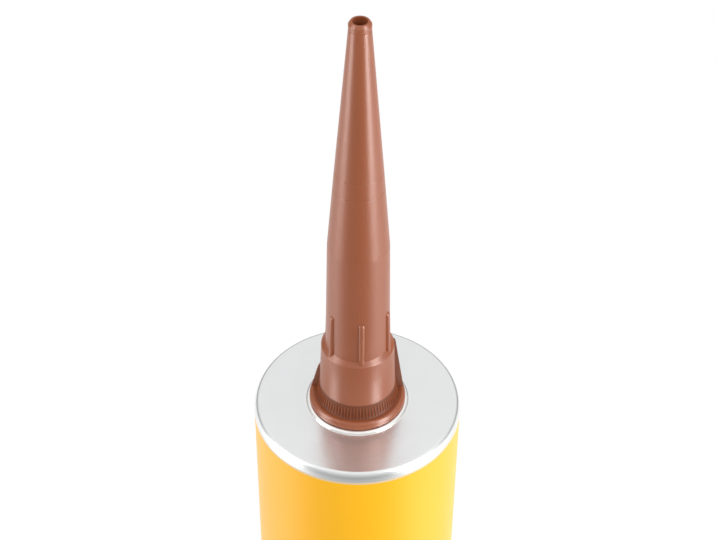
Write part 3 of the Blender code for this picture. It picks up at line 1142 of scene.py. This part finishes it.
@dataclass(frozen=True)
class SoftBox:
    """An upright rectangular lamp that faces the axis from a compass angle."""

    name: str
    angle: float
    width: float
    glow: float
    use: Use = Use.LIGHT
    distance: float = 0.6
    foot: float = -0.04
    head: float = 0.9

    def hang(self) -> None:
        """Put the lamp up."""
        tall = self.head - self.foot
        lamp = bpy.data.lights.new(self.name, "AREA")
        lamp.shape = "RECTANGLE"
        lamp.size, lamp.size_y = self.width, tall
        lamp.energy = self.glow * pi * self.width * tall
        thing = placed(self.name, lamp)
        way = Vector((sin(self.angle), -cos(self.angle), 0))
        thing.location = way * self.distance + Vector((0, 0, self.foot + tall / 2))
        thing.rotation_euler = way.to_track_quat("Z", "Y").to_euler()
        thing.visible_camera = False
        thing.visible_diffuse = self.use is Use.LIGHT
        thing.visible_glossy = self.use is Use.GLOSS


@dataclass(frozen=True)
class Glow:
    """A soft patch of light on the room's wall, at a compass angle and a height angle."""

    angle: float
    height: float
    width: float
    rise: float
    strength: float

    def light(self, sheet: NodeSheet, angle: Socket, height: Socket) -> Socket:
        """Return the patch's light towards a compass angle and a height angle."""
        across = sheet.sum("PINGPONG", sheet.sum("SUBTRACT", angle, self.angle), pi)
        upward = sheet.sum("ABSOLUTE", sheet.sum("SUBTRACT", height, self.height))
        share = sheet.remap(across, (0.0, self.width), (self.strength, 0.0), smooth=True)
        fade = sheet.remap(upward, (0.0, self.rise), (1.0, 0.0), smooth=True)
        return sheet.sum("MULTIPLY", share, fade)


@dataclass(frozen=True)
class Studio:
    """A white table in a softly lit room."""

    table_corners: tuple[Point, ...] = ((-0.42, -0.12), (0.42, -0.12), (0.42, 0.45), (-0.42, 0.45))
    table_level: float = -0.0001
    table_colour: Colour = (1.0, 1.0, 1.0)
    table_white: float = 0.9
    room_top: float = 0.97
    room_front: float = 0.48
    room_back: float = 0.05
    floor_front: float = 0.25
    floor_back: float = 1.5
    floor_edge: float = -0.35
    back_reach: float = 0.7
    backdrop_edge: float = 0.4
    glows: tuple[Glow, ...] = (
        Glow(radians(-82), radians(-25), radians(45), radians(50), 1.1),
        Glow(radians(72), radians(-25), radians(42), radians(50), 1.3),
    )
    lamps: tuple[SoftBox, ...] = (
        SoftBox("left_front_light", radians(-28), 0.3, 1.0),
        SoftBox("left_back_light", radians(-102), 0.23, 1.9),
        SoftBox("right_light", radians(66), 0.3, 2.1),
        SoftBox("right_back_light", radians(100), 0.3, 2.0),
        SoftBox("front_fill", radians(6), 0.25, 1.1, Use.LIGHT, 0.3, 0.36, 0.64),
        SoftBox("left_strip", radians(-72), 0.26, 6.5, Use.GLOSS),
        SoftBox("right_strip", radians(57), 0.24, 12.0, Use.GLOSS),
    )

    def table(self) -> None:
        """Lay the white table."""
        mesh = bpy.data.meshes.new("table")
        spots = [(*corner, self.table_level) for corner in self.table_corners]
        mesh.from_pydata(spots, [], [range(len(spots))])
        table = placed("table", mesh)
        table.visible_diffuse = table.visible_glossy = table.visible_shadow = False
        material = bpy.data.materials.new("white_table")
        material.use_nodes = True
        sheet = NodeSheet(material.node_tree)
        sheet.tree.nodes.clear()
        share = sheet.sum("MULTIPLY", sheet.shown(), self.table_white)
        paint = sheet.put("ShaderNodeBsdfDiffuse", {"Color": (*self.table_colour, 1.0)}).outputs[0]
        white = sheet.put("ShaderNodeEmission", {"Strength": 1.0}).outputs[0]
        mixed = sheet.put("ShaderNodeMixShader", {0: share, 1: paint, 2: white}).outputs[0]
        sheet.put("ShaderNodeOutputMaterial", {"Surface": mixed})
        table.data.materials.append(material)

    def room(self) -> None:
        """Light the room: pale above, dim in front and at the horizon, white to the camera."""
        world = bpy.data.worlds.new("room")
        world.use_nodes = True
        bpy.context.scene.world = world
        sheet = NodeSheet(world.node_tree)
        sheet.tree.nodes.clear()
        way = sheet.put("ShaderNodeTexCoord").outputs["Generated"]
        across, along, up = sheet.put("ShaderNodeSeparateXYZ", {0: way}).outputs
        floor = sheet.remap(along, (-1.0, 1.0), (self.floor_front, self.floor_back))
        horizon = sheet.remap(along, (-1.0, 1.0), (self.room_front, self.room_back))
        reach = sheet.remap(along, (-1.0, 1.0), (1.0, self.back_reach))
        above = sheet.remap(sheet.sum("DIVIDE", up, reach), (0.0, 1.0), (horizon, self.room_top))
        glow = sheet.remap(up, (self.floor_edge, 0.0), (floor, above), smooth=True)
        angle = sheet.sum("ARCTAN2", across, sheet.sum("MULTIPLY", along, -1.0))
        height = sheet.sum("ARCSINE", up)
        for patch in self.glows:
            glow = sheet.sum("ADD", glow, patch.light(sheet, angle, height))
        behind = sheet.remap(along, (0.0, self.backdrop_edge), (0.0, 1.0), smooth=True)
        below = sheet.remap(up, (self.floor_edge, 0.0), (1.0, 0.0), smooth=True)
        shown = sheet.shown(sheet.sum("MULTIPLY", behind, below))
        level = sheet.remap(shown, (0.0, 1.0), (glow, 1.0))
        light = sheet.put("ShaderNodeBackground", {"Color": (1, 1, 1, 1), "Strength": level})
        sheet.put("ShaderNodeOutputWorld", {"Surface": light.outputs[0]})

    def build(self) -> None:
        """Set the table, the room and the lamps."""
        self.table()
        self.room()
        for lamp in self.lamps:
            lamp.hang()
        bpy.context.scene.view_settings.view_transform = "Standard"


@dataclass(frozen=True)
class PhotoCamera:
    """The photograph's camera, found from the rim's ellipse, the tip and the barrel's sides."""

    place: tuple[float, float, float] = (-0.00006, -0.2685, 0.4939)
    pitch: float = radians(41.78)
    roll: float = radians(0.42)
    focal_pixels: float = 1691.9
    image_width: float = 716.0
    sensor_width: float = 36.0
    nearest: float = 0.01
    farthest: float = 50.0

    def build(self) -> None:
        """Set the camera up."""
        lens = bpy.data.cameras.new("photo_camera")
        lens.sensor_width = self.sensor_width
        lens.lens = self.focal_pixels * self.sensor_width / self.image_width
        lens.clip_start, lens.clip_end = self.nearest, self.farthest
        camera = placed("photo_camera", lens)
        turn = Matrix.Rotation(pi / 2 - self.pitch, 4, "X") @ Matrix.Rotation(self.roll, 4, "Z")
        camera.matrix_world = Matrix.Translation(self.place) @ turn
        bpy.context.scene.camera = camera


def main() -> None:
    """Build the studio, the camera and the four sub-assemblies."""
    logging.basicConfig(level=logging.INFO, format="%(message)s")
    datum = Datum(*map(Extent.of, ("cartridge", "nozzle", "piston", "sealant")))
    ring = ring_of_copies()
    PhotoCamera().build()
    Studio().build()
    for kind in (Cartridge, Nozzle, Piston, Filling):
        kind(datum, ring).build()


if __name__ == "__main__":
    main()
